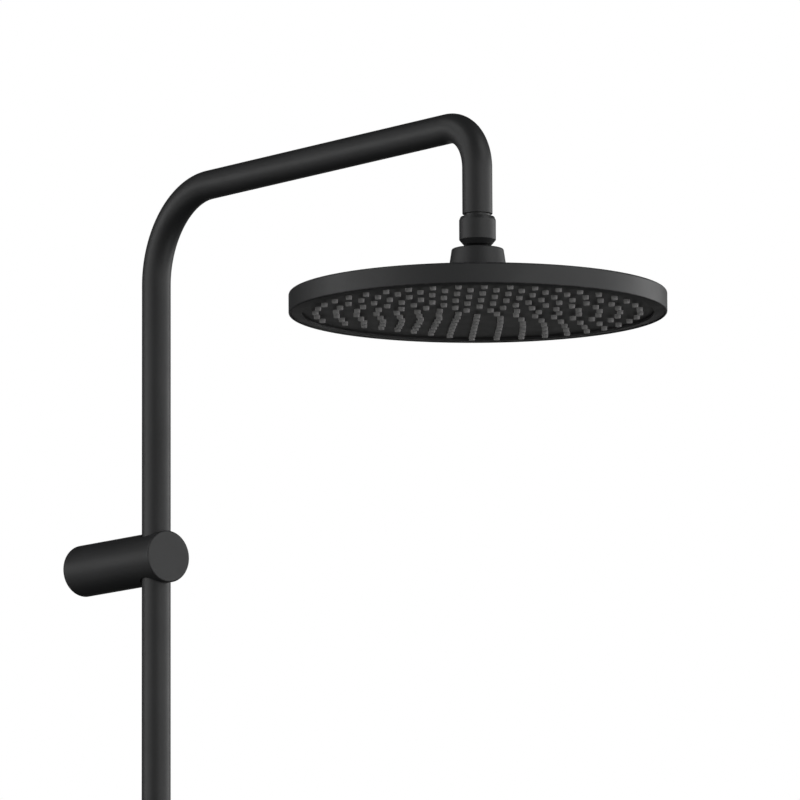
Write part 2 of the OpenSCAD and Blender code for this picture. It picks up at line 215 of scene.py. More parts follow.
def silicone(name, level=0.2):
    """Grey nozzle silicone, a little cloudy and dusty."""
    paint = Paint(name, IOR=1.43)
    cloud = paint.remap(paint.noise(9 * MM, 3), 0, 1, 0.3, 0.7)
    colour = paint.mix(cloud, grey(level * 0.9, 0.01), grey(level * 1.1, 0.01))
    colour = paint.mix(paint.times(paint.wear, cloud), colour, grey(level * 1.3))
    dull = paint.remap(paint.noise(3 * MM, 2), 0.5, 0.62, 0.3, 0.7)
    skin = paint.bump(paint.noise(0.35 * MM, 2), 0.01 * MM, 0.5)
    return paint.finish(Base_Color=colour, Roughness=dull, Normal=skin)


def turned_metal(name, colour, stretch, rough=0.28):
    """Bare machined metal, its tool marks stretched round the part."""
    paint = Paint(name, Metallic=1.0)
    red, green, blue = colour
    marks = paint.noise(0.5 * MM, 3, stretch)
    tone = paint.remap(marks, 0, 1, 0.3, 0.7)
    shade = paint.mix(tone, (red * 0.82, green * 0.82, blue * 0.82, 1), (red, green, blue, 1))
    dirt = paint.remap(paint.noise(5 * MM, 4), 0, 0.35, 0.5, 0.75)
    shade = paint.mix(dirt, shade, (red * 0.5, green * 0.46, blue * 0.4, 1))
    dull = paint.remap(paint.noise(2 * MM, 3), rough, rough + 0.16, 0.3, 0.7)
    groove = paint.bump(marks, 0.008 * MM, 0.5)
    return paint.finish(Base_Color=shade, Roughness=dull, Normal=groove)


def plain_moulded(name, colour, rough, grain=0.6 * MM):
    """Rubber or plastic that is mostly out of sight: even colour, faint cloud and grain."""
    paint = Paint(name)
    red, green, blue = colour
    cloud = paint.remap(paint.noise(8 * MM, 3), 0, 1, 0.3, 0.7)
    shade = paint.mix(cloud, (red * 0.85, green * 0.85, blue * 0.85, 1), (red, green, blue, 1))
    dull = paint.remap(paint.noise(3 * MM, 2), rough - 0.06, rough + 0.06, 0.3, 0.7)
    skin = paint.bump(paint.noise(grain, 2), 0.01 * MM, 0.5)
    return paint.finish(Base_Color=shade, Roughness=dull, Normal=skin)


BLACK_METAL = powder_coat("black_powder_coat")
HEAD_METAL = powder_coat("head_powder_coat", 0.025, 0.47)
JOINT_METAL = powder_coat("joint_black", 0.014, 0.38)
FACE_PLASTIC = satin_plastic("face_plastic", 0.036)
SILICONE = silicone("nozzle_silicone", 0.42)
BRASS = turned_metal("turned_brass", (0.62, 0.48, 0.25), (1, 0.04, 1))
STEEL = turned_metal("turned_steel", (0.45, 0.45, 0.46), (1, 1, 0.1))
RUBBER = plain_moulded("seal_rubber", (0.02, 0.02, 0.02), 0.7)
ACETAL = plain_moulded("acetal", (0.035, 0.035, 0.037), 0.45)
CHAMBER_PLASTIC = plain_moulded("chamber_plastic", (0.1, 0.1, 0.105), 0.5)


# ---------------------------------------------------------------- mesh tools

def new_mesh():
    mesh = bmesh.new()
    mesh.verts.layers.float.new(WEAR)
    return mesh


def add_vert(mesh, place, worn=0.0):
    vert = mesh.verts.new(place)
    vert[mesh.verts.layers.float[WEAR]] = worn
    return vert


def bridge(mesh, rings, closed=True):
    """Joins rings of equal length, one after the other, with quads."""
    for first, second in zip(rings, rings[1:]):
        last = len(first) if closed else len(first) - 1
        for i in range(last):
            j = (i + 1) % len(first)
            mesh.faces.new((first[i], first[j], second[j], second[i]))


def filleted(*corners, steps=6):
    """Outline through corners of (radius, height, fillet), as (radius, height, wear) points."""
    points = []
    for i, (radius, height, fillet) in enumerate(corners):
        corner = Vector((radius, height))
        if not fillet:
            points.append((radius, height, 0.0))
            continue
        back = (Vector(corners[i - 1][:2]) - corner).normalized()
        ahead = (Vector(corners[(i + 1) % len(corners)][:2]) - corner).normalized()
        half = back.angle(ahead) / 2
        middle = corner + (back + ahead).normalized() * fillet / math.sin(half)
        start = corner + back * fillet / math.tan(half) - middle
        end = corner + ahead * fillet / math.tan(half) - middle
        sweep = math.pi - 2 * half
        for step in range(steps + 1):
            part = step / steps
            spoke = start * math.sin((1 - part) * sweep) + end * math.sin(part * sweep)
            point = middle + spoke / math.sin(sweep)
            points.append((point.x, point.y, math.sin(math.pi * part)))
    return points


def turned(mesh, outline, axis, steps=96, closed=False):
    """Turns an outline, or a function of the angle that gives one, round an axis."""
    angles = [TURN * step / steps for step in range(steps)]
    columns = [outline(angle) if callable(outline) else outline for angle in angles]
    rings = []
    for row in zip(*columns):
        ring = []
        for angle, (radius, height, worn) in zip(angles, row):
            spot = Vector((radius * math.cos(angle), radius * math.sin(angle), height))
            ring.append(add_vert(mesh, axis @ spot, worn))
        rings.append(ring)
    bridge(mesh, rings + rings[:1] if closed else rings)
    return rings


def fill(mesh, border, holes, inner=()):
    """Triangulates between a border loop and round holes; points are (vertex, flat position)."""
    loops = [border, *holes]
    points = [point for loop in loops for point in loop]
    owner = [k for k, loop in enumerate(loops) for _ in loop] + [0] * len(inner)
    edges = []
    start = 0
    for loop in loops:
        edges += [(start + i, start + (i + 1) % len(loop)) for i in range(len(loop))]
        start += len(loop)
    points += inner
    flat = [Vector(spot) / MM for _, spot in points]
    _, _, faces, origins, _, _ = delaunay_2d_cdt(flat, edges, [], 1, 1e-6)
    for face in faces:
        ids = [origins[i][0] for i in face]
        owners = {owner[i] for i in ids}
        if len(owners) == 1 and owners != {0}:
            continue
        mesh.faces.new([points[i][0] for i in ids])


def drilled(mesh, axis, border, holes, mouth, steps=24):
    """Flat disc with an outline for its border and one outline, mouth, for every hole."""
    rim = turned(mesh, border, axis, 8 * steps)
    drills = [turned(mesh, mouth, axis @ Matrix.Translation((x, y, 0)), steps) for x, y in holes]
    undo = axis.inverted()
    for end in (0, -1):
        loops = [[(vert, (undo @ vert.co).xy) for vert in rings[end]] for rings in [rim, *drills]]
        fill(mesh, loops[0], loops[1:])


def piece(mesh, name, material, body, slot, *nodes):
    """Closes a mesh into a smooth object that rides on a body and stands for CAD nodes."""
    bmesh.ops.remove_doubles(mesh, verts=mesh.verts, dist=WELD)
    bmesh.ops.recalc_face_normals(mesh, faces=mesh.faces)
    for edge in mesh.edges:
        edge.smooth = edge.calc_face_angle(0) < SHARP
    for face in mesh.faces:
        face.smooth = True
    data = bpy.data.meshes.new(name)
    mesh.to_mesh(data)
    mesh.free()
    data.materials.append(material)
    shape = bpy.data.objects.new(name, data)
    bpy.context.scene.collection.objects.link(shape)
    normals = shape.modifiers.new("even_normals", "WEIGHTED_NORMAL")
    normals.keep_sharp = True
    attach(shape, body)
    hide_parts(*nodes)
    return shape


def hexagon(angle, flats):
    """Distance from the centre of a hexagon to its side, at an angle."""
    return flats / 2 / math.cos((angle + TURN / 12) % (TURN / 6) - TURN / 12)


# ---------------------------------------------------------------- riser

def bend(radius, start_angle, middle, steps=40):
    """Centres and outward directions along a quarter bend in the plane X = 0."""
    stations = []
    for step in range(steps + 1):
        angle = start_angle + TURN / 4 * step / steps
        outward = Vector((0, math.cos(angle), math.sin(angle)))
        stations.append((middle + outward * radius, outward))
    return stations


def straight(start, end, outward, spacing=25 * MM):
    steps = math.ceil((end - start).length / spacing)
    return [(start.lerp(end, step / steps), outward) for step in range(steps + 1)]


def riser_path():
    """Centres and outward directions from the riser's foot to the drop's open end."""
    wallward, upward = Vector((0, 1, 0)), Vector((0, 0, 1))
    rear = Vector((0, RISER_Y - REAR_BEND_R, ARM_Z - REAR_BEND_R))
    front = Vector((0, HEAD_Y + FRONT_BEND_R, ARM_Z - FRONT_BEND_R))
    climb = straight(Vector((0, RISER_Y, FOOT_Z)), rear + wallward * REAR_BEND_R, wallward)
    arm = straight(rear + upward * REAR_BEND_R, front + upward * FRONT_BEND_R, upward)
    drop = straight(front - wallward * FRONT_BEND_R, Vector((0, HEAD_Y, DROP_END_Z)), -wallward)
    rear_bend = bend(REAR_BEND_R, 0, rear)
    front_bend = bend(FRONT_BEND_R, TURN / 4, front)
    return climb[:-1] + rear_bend[:-1] + arm[:-1] + front_bend[:-1] + drop


def tube_ring(mesh, centre, outward, radius, worn=0.0, steps=96):
    side = Vector((1, 0, 0))
    ring = []
    for step in range(steps):
        angle = TURN * step / steps
        spoke = side * math.cos(angle) + outward * math.sin(angle)
        ring.append(add_vert(mesh, centre + spoke * radius, worn))
    return ring


def tube_end(mesh, path, end, towards):
    """Rings round the tube's cut end, from the outside to the bore, with broken edges."""
    edge = 0.3 * MM
    centre, outward = path[end]
    inward = (path[towards][0] - centre).normalized()
    lip = filleted((TUBE_R, 2 * edge, 0), (TUBE_R, 0, edge), (BORE_R, 0, edge), (BORE_R, 2 * edge, 0))
    return [tube_ring(mesh, centre + inward * depth, outward, radius, worn) for radius, depth, worn in lip]


def riser_tube():
    mesh = new_mesh()
    path = riser_path()
    inside = path[1:-1]
    outer = [tube_ring(mesh, centre, outward, TUBE_R) for centre, outward in inside]
    bore = [tube_ring(mesh, centre, outward, BORE_R) for centre, outward in inside]
    foot = tube_end(mesh, path, 0, 1)
    mouth = tube_end(mesh, path, -1, -2)
    bridge(mesh, outer + mouth + bore[::-1] + foot[::-1] + outer[:1])
    piece(mesh, "riser_tube_coated", BLACK_METAL, "riser", "black_metal", "riser_tube")


def foot_fittings():
    """Brazed collar and washer at the riser's foot, seen up the union nut's thread."""
    collar_low, collar_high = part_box("riser_collar")
    washer_low, washer_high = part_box("union_washer")
    mesh = new_mesh()
    radius, edge = collar_high.x, 0.3 * MM
    outline = filleted(
        (TUBE_R, collar_low.z, 0), (radius, collar_low.z, edge), (radius, collar_high.z, edge),
        (TUBE_R, collar_high.z, 0))
    turned(mesh, outline, RISER_AXIS, closed=True)
    piece(mesh, "riser_collar_turned", BRASS, "riser", "base_metal", "riser_collar")
    mesh = new_mesh()
    radius = washer_high.x
    outline = filleted(
        (BORE_R, washer_low.z, edge), (radius, washer_low.z, edge), (radius, washer_high.z, 0),
        (BORE_R, washer_high.z, 0))
    turned(mesh, outline, RISER_AXIS, closed=True)
    piece(mesh, "union_washer_moulded", RUBBER, "riser", "seal_rubber", "union_washer")


def union_nut():
    """Hexagon nut with chamfered corners and a G 3/4 thread inside."""
    low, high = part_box("union_nut")
    bottom, top = low.z, high.z
    flats = 30 * MM
    corner = high.x
    chamfer_start = corner - 1.2 * MM
    web = top - 3.4 * MM
    pitch = 1.814 * MM
    crest_r, root_r = 12.1 * MM, 13.2 * MM
    thread_top = bottom + 9.8 * MM
    bore = TUBE_R + 0.1 * MM
    rim, ease, bore_edge = 0.15 * MM, 0.3 * MM, 0.4 * MM
    lead_in, steepness = 1.2 * MM, 1.6
    rows = 66

    def outline(angle):
        side = hexagon(angle, flats)
        cut = max(side - chamfer_start, rim)
        flat_r = min(side, chamfer_start) - rim
        points = [(chamfer_start - bore_edge, bottom, 0.0), (flat_r, bottom, 0.4)]
        points += [(side, bottom + cut, 1.0), (side, bottom + cut + ease, 0.0)]
        points += [(side, top - cut - ease, 0.0), (side, top - cut, 1.0)]
        points += [(flat_r, top, 0.4), (bore + bore_edge, top, 0.0), (bore, top - bore_edge, 0.5)]
        points += [(bore, web, 0.0), (root_r, web, 0.0), (root_r, thread_top, 0.0)]
        for row in range(rows + 1):
            height = thread_top + (bottom - thread_top) * row / rows
            wave = abs(((height - bottom) / pitch + angle / TURN) % 1 * 2 - 1)
            mouth = min(1.0, (height - bottom) / lead_in)
            radius = root_r - (root_r - crest_r) * min(1.0, steepness * wave) * mouth
            points.append((radius, height, 0.6 * wave))
        return points

    mesh = new_mesh()
    turned(mesh, outline, RISER_AXIS, 144, closed=True)
    piece(mesh, "union_nut_coated", BLACK_METAL, "inlet_nut", "black_metal", "union_nut")


# ---------------------------------------------------------------- wall bracket

class Hole:
    """Round hole drilled into the bracket's curved side, its mouth rounded over."""

    def __init__(self, reach, radius, out, across, mouth=0.4 * MM, steps=72):
        self.reach = reach      # distance from the wall to the hole's axis
        self.radius = radius
        self.out = Vector(out)
        self.across = Vector(across)
        self.mouth = mouth
        self.steps = steps

    def ring(self, mesh, radius, drop, worn=0.0):
        """Ring that follows the bracket's surface, sunk by drop."""
        verts = []
        for step in range(self.steps):
            angle = TURN * step / self.steps
            side = radius * math.cos(angle)
            height = math.sqrt(BRACKET_R ** 2 - side ** 2) - drop
            forward = Vector((0, -1, 0)) * (self.reach + radius * math.sin(angle))
            verts.append(add_vert(mesh, forward + self.across * side + self.out * height, worn))
        return verts

    def drill(self, mesh, depth, arc=5):
        """Rounded mouth and wall; gives the mouth's outer ring and the wall's last ring."""
        rings = []
        for step in range(arc + 1):
            angle = TURN / 4 * step / arc
            radius = self.radius + self.mouth * (1 - math.sin(angle))
            drop = self.mouth * (1 - math.cos(angle))
            rings.append(self.ring(mesh, radius, drop, math.sin(math.pi * step / arc)))
        rings.append(self.ring(mesh, self.radius, depth))
        bridge(mesh, rings)
        return rings[0], rings[-1]


def unrolled(vert):
    """Place on the bracket's side laid flat: distance round from the -X side, and from the wall."""
    angle = math.atan2(vert.co.z, -vert.co.x) % TURN
    return Vector((BRACKET_R * angle, -vert.co.y))


def bracket_side(mesh, rear, front, columns=144, rows=44):
    """Cylinder between two distances from the wall, drilled for the riser and two grub screws."""
    def spot(column, row):
        angle = TURN * column / columns
        reach = rear + (front - rear) * row / rows
        place = Vector((-BRACKET_R * math.cos(angle), -reach, BRACKET_R * math.sin(angle)))
        return add_vert(mesh, place), Vector((BRACKET_R * angle, reach))

    reach, base_reach = -RISER_Y, 8 * MM
    bore_r = LINER_R + FIT_GAP
    screw_r, screw_mouth, screw_steps = 2.5 * MM, 0.25 * MM, 32
    riser_depth, clamp_depth, base_depth = 2 * MM, 6.5 * MM, 2.3 * MM
    margin = 0.5 * MM       # kept free of inner vertices round each hole
    riser_top = Hole(reach, bore_r, (0, 0, 1), (1, 0, 0))
    riser_bottom = Hole(reach, bore_r, (0, 0, -1), (1, 0, 0))
    clamp = Hole(reach, screw_r, (1, 0, 0), (0, 0, 1), screw_mouth, screw_steps)
    base = Hole(base_reach, screw_r, (0, 0, -1), (1, 0, 0), screw_mouth, screw_steps)
    top_mouth, top_wall = riser_top.drill(mesh, riser_depth)
    bottom_mouth, bottom_wall = riser_bottom.drill(mesh, riser_depth)
    bridge(mesh, [top_wall, bottom_wall])
    mouths = [top_mouth, bottom_mouth, clamp.drill(mesh, clamp_depth)[0], base.drill(mesh, base_depth)[0]]
    holes = [[(vert, unrolled(vert)) for vert in ring] for ring in mouths]

    border = [spot(column, 0) for column in range(columns)]
    border += [spot(columns, row) for row in range(rows)]
    border += [spot(column, rows) for column in range(columns, 0, -1)]
    border += [spot(0, row) for row in range(rows, 0, -1)]
    middles = [sum((flat for _, flat in hole), Vector((0, 0))) / len(hole) for hole in holes]
    widths = [max((flat - middle).length for _, flat in hole) for hole, middle in zip(holes, middles)]
    inner = []
    for column in range(1, columns):
        for row in range(1, rows):
            flat = Vector((BRACKET_R * TURN * column / columns, rear + (front - rear) * row / rows))
            if all((flat - middle).length > width + margin for middle, width in zip(middles, widths)):
                inner.append(spot(column, row))
    fill(mesh, border, holes, inner)


def bracket_body():
    front_edge, rear_edge = 1.2 * MM, 0.4 * MM
    socket_r, socket_len = 15.1 * MM, 40 * MM
    mesh = new_mesh()
    nose = filleted((0, BRACKET_LEN, 0), (BRACKET_R, BRACKET_LEN, front_edge), (BRACKET_R, 0, 0), steps=8)
    turned(mesh, nose[:-1], FORWARD_AXIS, 144)
    heel = filleted(
        (BRACKET_R, BRACKET_LEN, 0), (BRACKET_R, 0, rear_edge), (socket_r, 0, rear_edge),
        (socket_r, socket_len, 0), (0, socket_len, 0))
    turned(mesh, heel[1:], FORWARD_AXIS, 144)
    bracket_side(mesh, rear_edge, BRACKET_LEN - front_edge)
    piece(mesh, "bracket_coated", BLACK_METAL, "wall_bracket", "black_metal", "bracket_body")


def mounting_disc():
    """Brass disc behind the bracket, with two countersunk holes for the wall screws."""
    low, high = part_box("mounting_boss")
    radius, depth = high.x, -low.y
    edge, hole_r, head_r = 0.4 * MM, 2.2 * MM, 4.2 * MM
    sink_h, spread = 2 * MM, 8 * MM
    border = filleted((0, 0, 0), (radius, 0, edge), (radius, depth, edge), (0, depth, 0))[1:-1]
    mouth = filleted(
        (head_r, 0, 0), (hole_r, 0, 0.2 * MM), (hole_r, depth - sink_h, 0), (head_r, depth, 0))[1:]
    holes = [(-spread, 0), (spread, 0)]
    mesh = new_mesh()
    drilled(mesh, FORWARD_AXIS, border, holes, mouth, 36)
    piece(mesh, "mounting_disc_turned", BRASS, "wall_bracket", "base_metal", "mounting_boss")


def grub_screw(name, axis, length, node):
    """Headless screw, socket end at the axis' origin and cone point along its Z."""
    radius, key, depth, edge = 2.45 * MM, 2.5 * MM, 2.2 * MM, 0.25 * MM
    tip_r, tip_h = 1.4 * MM, 1 * MM

    def outline(angle):
        wall = hexagon(angle, key)
        shell = filleted(
            (wall + 0.1 * MM, 0, 0), (radius, 0, edge), (radius, length - tip_h, 0.2 * MM),
            (tip_r, length, 0.1 * MM), (0, length, 0), steps=3)
        return [(0, depth + 0.5 * MM, 0), (wall, depth, 0), (wall, 0.1 * MM, 0.3)] + shell

    mesh = new_mesh()
    turned(mesh, outline, axis, 72)
    piece(mesh, name, STEEL, "wall_bracket", "screw_steel", node)


def bracket_screws():
    clamp_low, clamp_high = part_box("clamp_screw")
    inward = SIDE_AXIS @ Matrix.Translation((0, 0, clamp_high.x)) @ Matrix.Rotation(math.pi, 4, "X")
    grub_screw("clamp_screw_steel", inward, clamp_high.x - clamp_low.x, "clamp_screw")
    base_low, base_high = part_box("base_grub_screw")
    upward = Matrix.Translation((0, (base_low.y + base_high.y) / 2, base_low.z))
    grub_screw("base_screw_steel", upward, base_high.z - base_low.z, "base_grub_screw")


def liner():
    low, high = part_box("bracket_liner")
    bore, edge = TUBE_R + FIT_GAP, 0.25 * MM
    outline = filleted(
        (bore, low.z, edge), (high.x, low.z, edge), (high.x, high.z, edge), (bore, high.z, edge), steps=4)
    mesh = new_mesh()
    turned(mesh, outline, RISER_AXIS, closed=True)
    piece(mesh, "bracket_liner_moulded", ACETAL, "liner", "liner_plastic", "bracket_liner")


# ---------------------------------------------------------------- swivel joint

def arm_nipple():
    """Threaded end brazed into the drop; its waist is the groove above the nut."""
    low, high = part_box("arm_nipple")
    waist_r, thread_r, bore, edge = 8.6 * MM, high.x, 6 * MM, 0.3 * MM
    screen_r, screen_z = 7 * MM, high.z - 2 * MM
    shoulder = nut_high.z - 0.5 * MM
    outline = filleted(
        (bore, low.z, edge), (thread_r, low.z, edge), (thread_r, shoulder, edge), (waist_r, shoulder, edge),
        (waist_r, DROP_END_Z, 0), (BORE_R, DROP_END_Z, 0), (BORE_R, high.z, edge), (screen_r, high.z, edge),
        (screen_r, screen_z, 0), (bore, screen_z, 0))
    mesh = new_mesh()
    turned(mesh, outline, DROP_AXIS, closed=True)
    piece(mesh, "arm_nipple_turned", JOINT_METAL, "riser", "nipple_metal", "arm_nipple")


def swivel_nut():
    """Round nut with a broken top edge, a dark cone below and a bore for the ball."""
    bottom, top = nut_low.z, nut_high.z
    mouth_r, bore, cone_h = 7.3 * MM, 10.45 * MM, 3.7 * MM
    low_bevel_w, low_bevel_h = 2.85 * MM, 3.4 * MM
    top_bevel_w, top_bevel_h = 0.95 * MM, 2.3 * MM
    outline = filleted(
        (mouth_r, bottom, 0.2 * MM), (NUT_R - low_bevel_w, bottom, 0.4 * MM),
        (NUT_R, bottom + low_bevel_h, 0.5 * MM),
        (NUT_R, top - top_bevel_h, 0.8 * MM), (NUT_R - top_bevel_w, top, 0.3 * MM), (bore, top, 0.3 * MM),
        (bore, bottom + cone_h, 0.4 * MM))
    mesh = new_mesh()
    turned(mesh, outline, DROP_AXIS, 128, closed=True)
    piece(mesh, "swivel_nut_coated", BLACK_METAL, "riser", "black_metal", "swivel_nut")


def swivel_ball():
    """Hollow ball on its neck, with the flange that closes the boss."""
    low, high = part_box("swivel_ball")
    boss_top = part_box("neck_boss")[1].z
    neck_r, flange_r, stem_r, water_r = 5 * MM, 8.5 * MM, 7 * MM, 3.5 * MM
    flange_low = boss_top - 1.4 * MM
    neck_angle = math.asin(neck_r / BALL_R)
    top_angle = math.acos((high.z - BALL_Z) / BALL_R)
    ball = []
    steps = 40
    for step in range(steps + 1):
        angle = math.pi - neck_angle - (math.pi - neck_angle - top_angle) * step / steps
        ball.append((BALL_R * math.sin(angle), BALL_Z + BALL_R * math.cos(angle), 0.0))
    foot = filleted(
        (water_r, low.z, 0.3 * MM), (stem_r, low.z, 0.3 * MM), (stem_r, flange_low, 0),
        (flange_r, flange_low, 0.1 * MM), (flange_r, boss_top, 0.4 * MM), (neck_r, boss_top, 0.8 * MM),
        (neck_r, BALL_Z, 0))[:-1]
    mesh = new_mesh()
    turned(mesh, foot + ball + [(water_r, high.z, 0.0)], DROP_AXIS, 128, closed=True)
    piece(mesh, "swivel_ball_turned", JOINT_METAL, "head", "ball_metal", "swivel_ball")


def lower_seat():
    """Plastic ring in the nut's cone that carries the ball."""
    low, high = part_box("lower_seat")
    touch = BALL_R + 0.06 * MM
    cup = []
    steps = 16
    for step in range(steps + 1):
        height = high.z + (low.z - high.z) * step / steps - BALL_Z
        cup.append((math.sqrt(touch ** 2 - height ** 2), BALL_Z + height, 0.0))
    foot_r, knee = 7.9 * MM, nut_low.z + 3.85 * MM
    back = [(foot_r, low.z, 0.0), (high.x, knee, 0.0), (high.x, high.z, 0.0)]
    mesh = new_mesh()
    turned(mesh, cup + back, DROP_AXIS, closed=True)
    piece(mesh, "lower_seat_moulded", ACETAL, "seat_ring", "liner_plastic", "lower_seat")


# ---------------------------------------------------------------- rain head

def neck_boss():
    """Tapered boss between the ball and the shell."""
    low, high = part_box("neck_boss")
    base_r, top_r = high.x, 17.15 * MM
    pocket_r, pocket_floor, bore = 8.7 * MM, high.z - 2.6 * MM, 7.05 * MM
    spigot_r, water_r = 10.5 * MM, 5 * MM
    web = low.z + 7.8 * MM
    web_top = web + 2 * MM
    outline = filleted(
        (spigot_r, low.z, 0.3 * MM), (base_r, low.z, 0.3 * MM), (top_r, high.z, 1.2 * MM),
        (pocket_r, high.z, 0.3 * MM), (pocket_r, pocket_floor, 0), (bore, pocket_floor, 0),
        (bore, web_top, 0), (water_r, web_top, 0), (water_r, web, 0), (spigot_r, web, 0), steps=8)
    mesh = new_mesh()
    turned(mesh, outline, DROP_AXIS, 160, closed=True)
    piece(mesh, "neck_boss_coated", BLACK_METAL, "head", "black_metal", "neck_boss")


def boss_gasket():
    low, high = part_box("boss_gasket")
    edge = 0.2 * MM
    outline = filleted(
        (SHELL_HOLE_R, low.z, 0), (high.x, low.z, edge), (high.x, high.z, edge),
        (SHELL_HOLE_R, high.z, 0), steps=3)
    mesh = new_mesh()
    turned(mesh, outline, DROP_AXIS, 128, closed=True)
    piece(mesh, "boss_gasket_moulded", RUBBER, "head", "seal_rubber", "boss_gasket")


def crown(radius_out, radius_in, drop=0.0, steps=48):
    """Heights of the head's shallow crown above its face, from one radius to another."""
    cap_r = HEAD_R - RIM_ROUND
    sphere_r = (cap_r ** 2 + CROWN_RISE ** 2) / (2 * CROWN_RISE)
    middle = RIM_H + CROWN_RISE - sphere_r
    points = []
    for step in range(steps + 1):
        radius = radius_out + (radius_in - radius_out) * step / steps
        points.append((radius, middle + math.sqrt((sphere_r - drop) ** 2 - radius ** 2), 0.0))
    return points


def top_shell():
    """Shallow spun cover with a straight side wall and softly rounded edges."""
    inside_r, inside_top = HEAD_R - SHELL_WALL, RIM_H - 2 * MM
    slope_w, slope_h = 9 * MM, 0.9 * MM     # the crown's slope next to the rim
    over_r, under_r = HEAD_R - RIM_ROUND - 1 * MM, inside_r - 1.4 * MM
    wall = filleted(
        (inside_r, inside_top, 0), (inside_r, 0, 0.2 * MM), (HEAD_R, 0, LIP_ROUND),
        (HEAD_R, RIM_H, RIM_ROUND), (HEAD_R - slope_w, RIM_H + slope_h, 0), steps=10)[:-1]
    over = crown(over_r, SHELL_HOLE_R)
    under = crown(SHELL_HOLE_R, under_r, SHELL_WALL)
    mesh = new_mesh()
    turned(mesh, wall + over + under, HEAD_AXIS, 360, closed=True)
    piece(mesh, "head_shell_coated", HEAD_METAL, "head", "head_metal", "top_shell")


def face_ring():
    """Slightly bevelled ring that carries the face plate a little above the shell's lip."""
    inner, outer = 116.15 * MM, HEAD_R - SHELL_WALL - FIT_GAP
    flange, top, ledge = PLATE_R + 0.2 * MM, 4.5 * MM, PLATE_RECESS - FIT_GAP
    outline = filleted(
        (inner, 0, 0.3 * MM), (outer, 0.6 * MM, 0.4 * MM), (outer, top, 0), (flange, top, 0),
        (flange, ledge, 0), (inner, ledge, 0))
    mesh = new_mesh()
    turned(mesh, outline, HEAD_AXIS, 360, closed=True)
    piece(mesh, "face_ring_moulded", FACE_PLASTIC, "head", "face_plastic", "face_ring")


def nozzle_places():
    """Middles of the nozzles: ring k has k times NOZZLE_STEP, straight across the wall's sector."""
    places = []
    half = TURN / NOZZLE_STEP / 2
    for ring in range(1, NOZZLE_RINGS + 1):
        count = NOZZLE_STEP * ring
        for i in range(count):
            angle = TURN * i / count - TURN / 4
            radius = RING_PITCH * ring
            off = angle - TURN / 4
            if abs(off) < half - 1e-6:
                radius *= math.cos(half) / math.cos(off)
            places.append((radius * math.cos(angle), radius * math.sin(angle)))
    return places


def face_plate():
    """Perforated plate; every hole has a rounded lip."""
    lip, edge = 0.3 * MM, 0.25 * MM
    border = filleted(
        (0, PLATE_RECESS, 0), (PLATE_R, PLATE_RECESS, edge), (PLATE_R, PLATE_TOP, 0), steps=4)[1:]
    mouth = filleted(
        (NOZZLE_HOLE_R + lip, PLATE_RECESS, 0), (NOZZLE_HOLE_R, PLATE_RECESS, lip),
        (NOZZLE_HOLE_R, PLATE_TOP, 0), steps=4)[1:]
    mesh = new_mesh()
    drilled(mesh, HEAD_AXIS, border, nozzle_places(), mouth)
    piece(mesh, "face_plate_moulded", FACE_PLASTIC, "head", "face_plastic", "face_plate")


def spray_nozzles():
    """Silicone sheet behind the plate and its soft tapered nozzles."""
    low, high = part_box("nozzle_mat")
    tip = low.z - LIP_Z
    tip_r = NOZZLE_R - 0.2 * MM
    jet_r, jet_end, jet_point = 0.5 * MM, tip + 1.6 * MM, tip + 2.2 * MM
    funnel_r, funnel_end = jet_r + 0.35 * MM, tip + 0.3 * MM
    sheet_low, sheet_high = PLATE_TOP + FIT_GAP, high.z - LIP_Z
    root, edge = sheet_low + 0.2 * MM, 0.2 * MM
    nozzle = filleted(
        (0, jet_point, 0), (jet_r, jet_end, 0), (jet_r, funnel_end, 0), (funnel_r, tip, 0.15 * MM),
        (tip_r, tip, 0.3 * MM), (NOZZLE_R, PLATE_RECESS, 0), (NOZZLE_R, root, 0), steps=3)
    sheet = filleted(
        (0, sheet_low, 0), (high.x, sheet_low, edge), (high.x, sheet_high, edge), (0, sheet_high, 0))
    mesh = new_mesh()
    turned(mesh, sheet, HEAD_AXIS, 120)
    for x, y in nozzle_places():
        turned(mesh, nozzle, HEAD_AXIS @ Matrix.Translation((x, y, 0)), 20)
    piece(mesh, "spray_nozzles_silicone", SILICONE, "head", "nozzle_silicone", "nozzle_mat")


# ---------------------------------------------------------------- studio

def camera():
    """Long lens, left of the column's front and looking slightly up at the head."""
    azimuth, pitch, roll = map(math.radians, (CAMERA_AZIMUTH, CAMERA_PITCH, CAMERA_ROLL))
    back_off, right_off, drop = 5.88, 0.1687, 1.0256
    back = Vector((math.sin(azimuth), -math.cos(azimuth), 0))
    right = Vector((math.cos(azimuth), math.sin(azimuth), 0))
    up = Vector((0, 0, 1))
    lens = bpy.data.cameras.new("camera")
    lens.lens = 386.5
    lens.sensor_width = 36
    lens.clip_start, lens.clip_end = 0.5, 40
    view = bpy.data.objects.new("camera", lens)
    bpy.context.scene.collection.objects.link(view)
    corner = Vector((0, RISER_Y, ARM_Z))
    view.location = corner + back * back_off + right * right_off - up * drop
    aim = -back * math.cos(pitch) + up * math.sin(pitch)
    tall = back * math.sin(pitch) + up * math.cos(pitch)
    side = right * math.cos(roll) + tall * math.sin(roll)
    tall = tall * math.cos(roll) - right * math.sin(roll)
    view.rotation_mode = "QUATERNION"
    view.rotation_quaternion = Matrix((side, tall, -aim)).transposed().to_quaternion()
    bpy.context.scene.camera = view


